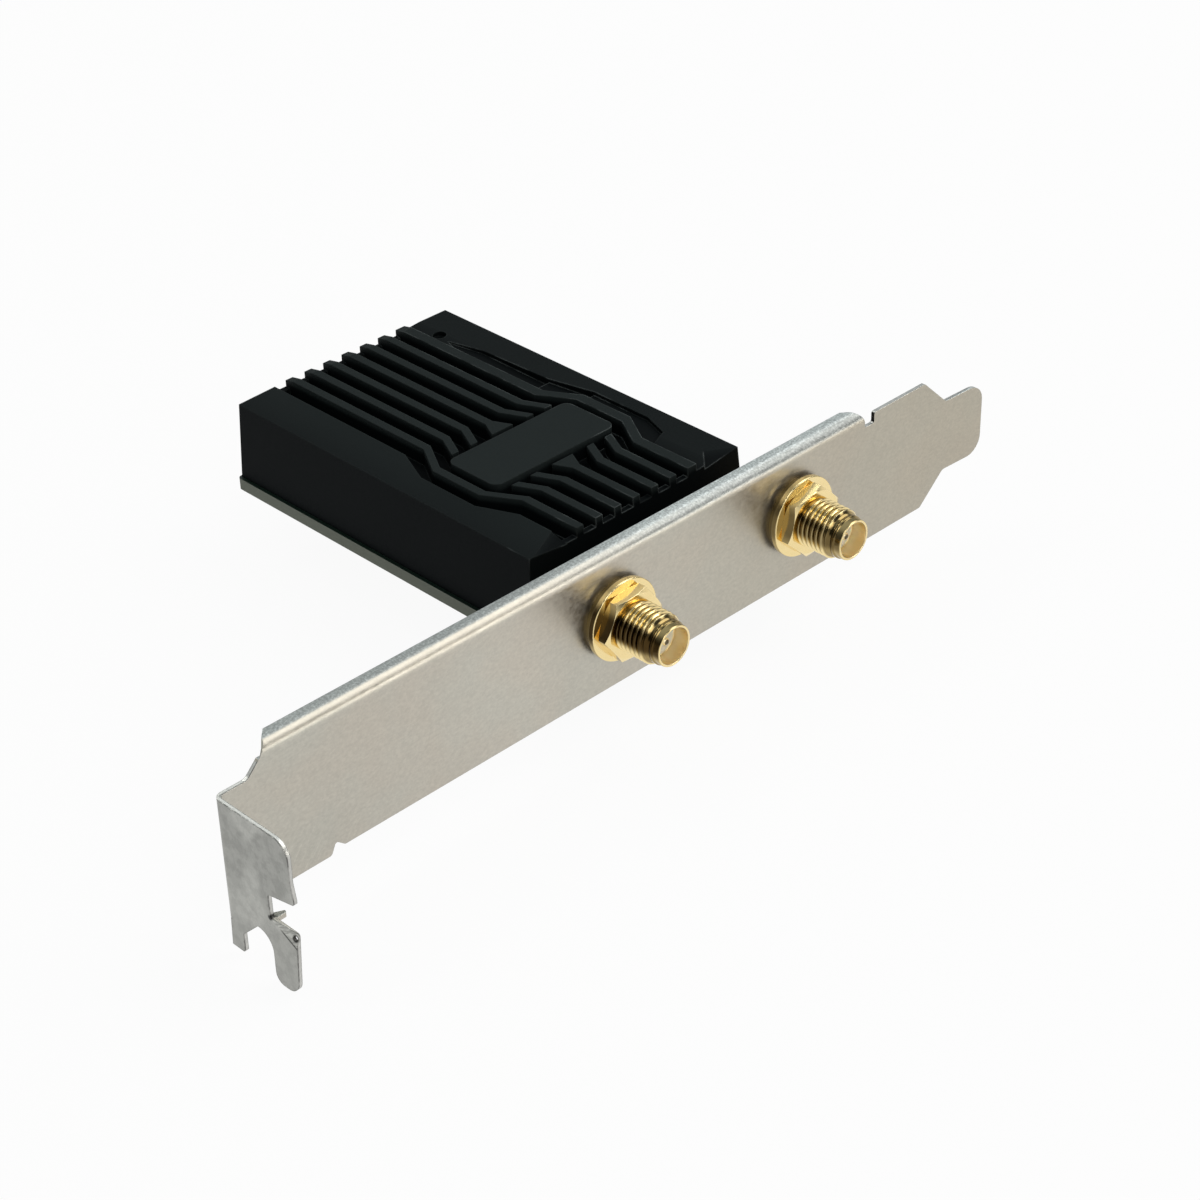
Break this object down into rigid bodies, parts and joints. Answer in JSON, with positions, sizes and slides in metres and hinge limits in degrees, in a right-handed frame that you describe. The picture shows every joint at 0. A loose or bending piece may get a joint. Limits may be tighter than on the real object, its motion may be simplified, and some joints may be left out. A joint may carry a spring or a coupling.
{
  "type": "pcie wifi card",
  "caption": "Desktop wireless network card: folded slot bracket, small circuit board under a finned black heat sink, and threaded gold aerial jacks.",
  "frame": {"origin": "centre of the card's footprint, at the height of the bracket lip's lowest point", "axes": "+X runs along the bracket from its screw lip to its tongue and is also the way the card plugs into its slot; +Y runs from the bracket's outer face along the card to its far end, so the jacks point to -Y; +Z points out of the board on the heat sink's side"},
  "size_m": [0.1216, 0.0728, 0.0228],
  "materials": {
    "bracket_steel": "nickel-plated sheet steel, fine satin grain",
    "board_laminate": "black solder mask over glass laminate, grey-green sawn edge",
    "contact_gold": "thin hard gold on copper, polished",
    "sink_coating": "die-cast aluminium with a fine matt black coating",
    "screw_steel": "nickel-plated steel, semi-bright",
    "shield_tin": "tinned sheet",
    "pad_rubber": "soft matt silicone",
    "chip_resin": "moulded black resin",
    "ferrite": "dark grey pressed ferrite",
    "ceramic": "tan ceramic",
    "jack_gold": "gold plate on turned brass, polished",
    "insulator_white": "white fluoroplastic"
  },
  "bodies": {
    "root": {"bracket": "bracket_steel", "circuit_board": "board_laminate", "edge_contacts": "contact_gold", "heat_sink": "sink_coating", "heat_sink_screws": "screw_steel", "shield_frame": "shield_tin", "shield_lid": "shield_tin", "thermal_pad": "pad_rubber", "chip_pad": "pad_rubber", "radio_chip": "chip_resin", "front_end_chips": "chip_resin", "voltage_regulator": "chip_resin", "crystal": "shield_tin", "power_inductor": "ferrite", "capacitors": "ceramic", "jack_near_body": "jack_gold", "jack_near_contact": "jack_gold", "jack_near_nut": "jack_gold", "jack_near_washer": "jack_gold", "jack_near_lock_washer": "jack_gold", "jack_near_insulator": "insulator_white", "jack_far_body": "jack_gold", "jack_far_contact": "jack_gold", "jack_far_nut": "jack_gold", "jack_far_washer": "jack_gold", "jack_far_lock_washer": "jack_gold", "jack_far_insulator": "insulator_white"}
  },
  "joints": []
}
